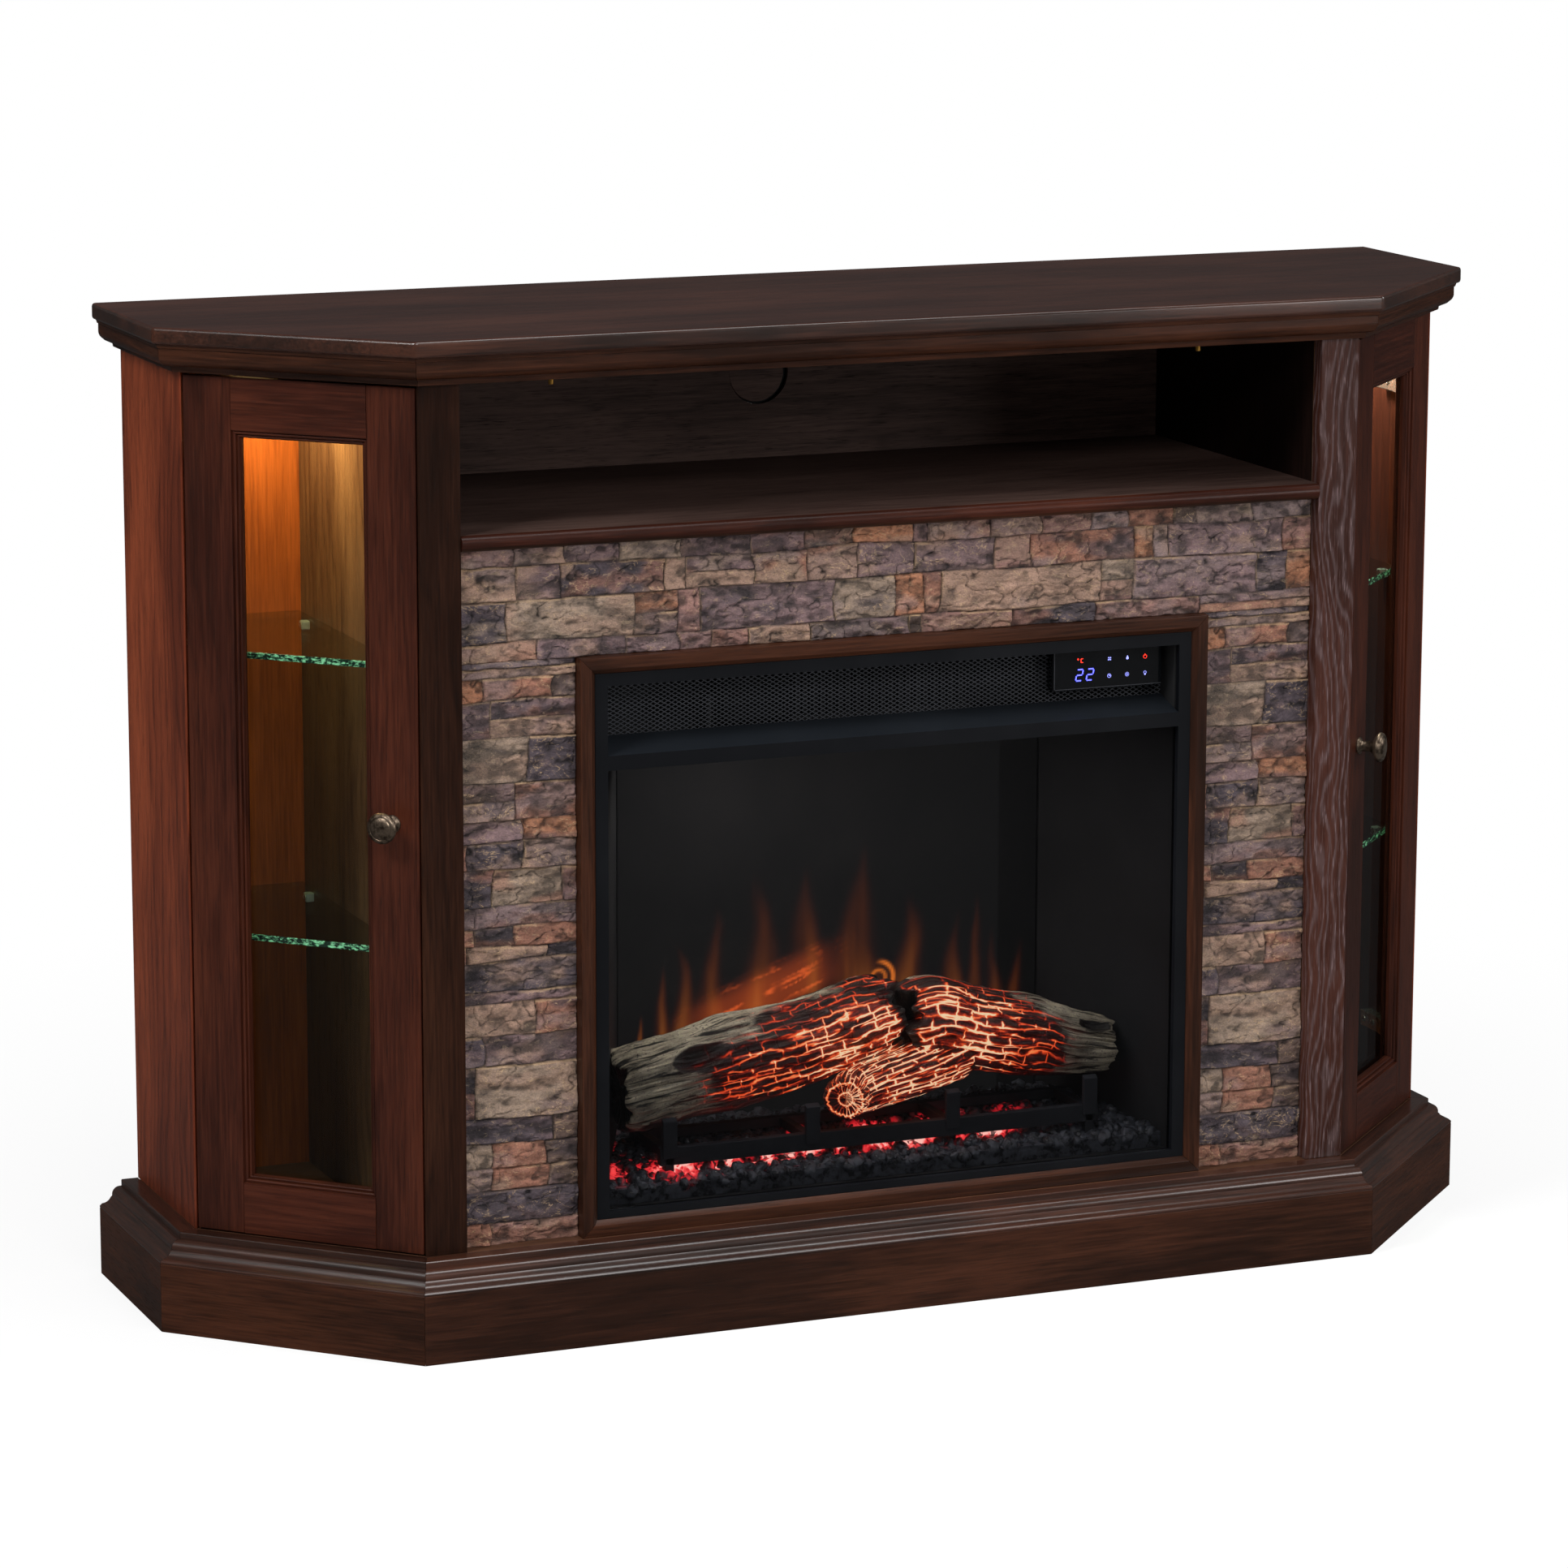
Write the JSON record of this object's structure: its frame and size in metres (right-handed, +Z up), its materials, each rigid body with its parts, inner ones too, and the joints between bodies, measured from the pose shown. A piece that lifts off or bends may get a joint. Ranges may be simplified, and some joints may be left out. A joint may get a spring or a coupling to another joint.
{
  "type": "corner fireplace",
  "caption": "Wooden console with cut corners, a glazed cabinet behind each corner, a media bay under the top and an electric firebox in a stone surround.",
  "frame": {"origin": "middle of the footprint's box, on the floor", "axes": "+X to the right of someone who faces the fire, +Y back towards the wall, +Z up"},
  "size_m": [1.3194, 0.3884, 0.91],
  "materials": {
    "mahogany": "satin lacquer on mahogany veneer and solid mouldings",
    "side_veneer": "satin lacquer, redder grain that runs upright",
    "top_veneer": "satin lacquer, greyer sheen",
    "hardboard": "dark printed hardboard",
    "stone": "rough stacked ledgestone",
    "black_steel": "satin black powder coat",
    "black_glass": "gloss black glass",
    "window_glass": "clear smoked glass",
    "clear_glass": "clear float glass with green edges",
    "nickel": "nickel plate",
    "bronze": "antique bronze, rubbed to pewter on the high places",
    "ironwork": "matt black",
    "charred_wood": "cast resin painted as bark and char",
    "coal": "resin coals, lit orange from below",
    "lamp_lens": "frosted lens in a satin ring",
    "aluminium": "plain mill finish"
  },
  "bodies": {
    "case": {"plinth_front": "mahogany", "plinth_left": "mahogany", "plinth_right": "mahogany", "plinth_back": "mahogany", "base_moulding_front": "mahogany", "base_moulding_left": "mahogany", "base_moulding_right": "mahogany", "bottom_deck": "mahogany", "side_panel_left": "side_veneer", "side_panel_right": "side_veneer", "divider_left": "mahogany", "divider_right": "mahogany", "pilaster_left": "mahogany", "pilaster_right": "mahogany", "cabinet_back_left": "hardboard", "cabinet_back_right": "hardboard", "media_back": "hardboard", "media_shelf": "mahogany", "crown_front": "mahogany", "crown_left": "mahogany", "crown_right": "mahogany", "top_slab": "top_veneer", "stone_header": "stone", "stone_left": "stone", "stone_right": "stone", "trim_top": "mahogany", "trim_bottom": "mahogany", "trim_left": "mahogany", "trim_right": "mahogany", "insert_front": "black_steel", "firebox_case": "black_steel", "window_glass": "window_glass", "air_grille": "ironwork", "control_panel": "black_glass", "flame_screen": "black_glass", "ember_bed": "coal", "fire_grate": "ironwork", "log_left": "charred_wood", "log_right": "charred_wood", "blower_motor": "black_steel", "heater_element": "aluminium", "rotor_motor": "black_steel", "glass_shelf_left_lower": "clear_glass", "glass_shelf_left_upper": "clear_glass", "glass_shelf_right_lower": "clear_glass", "glass_shelf_right_upper": "clear_glass", "puck_light_left": "lamp_lens", "puck_light_right": "lamp_lens", "hinge_left_lower": "nickel", "hinge_left_upper": "nickel", "hinge_right_lower": "nickel", "hinge_right_upper": "nickel"},
    "door_left": {"door_frame_left": "mahogany", "door_glass_left": "clear_glass", "door_knob_left": "bronze"},
    "door_right": {"door_frame_right": "mahogany", "door_glass_right": "clear_glass", "door_knob_right": "bronze"},
    "blower": {"blower_wheel": "aluminium"},
    "rotor": {"flame_rotor": "aluminium"}
  },
  "joints": [
    {"name": "door_left_hinge", "type": "hinge", "parent": "case", "child": "door_left", "pos_m": [-0.62106, 0.00585, 0], "axis": [0, 0, -1], "range_deg": [0, 100]},
    {"name": "door_right_hinge", "type": "hinge", "parent": "case", "child": "door_right", "pos_m": [0.62106, 0.00585, 0], "axis": [0, 0, 1], "range_deg": [0, 100]},
    {"name": "blower_spin", "type": "hinge", "parent": "case", "child": "blower", "pos_m": [0, -0.08, 0.5576], "axis": [1, 0, 0], "continuous": true},
    {"name": "rotor_spin", "type": "hinge", "parent": "case", "child": "rotor", "pos_m": [0, 0.0408, 0.1704], "axis": [1, 0, 0], "continuous": true}
  ]
}
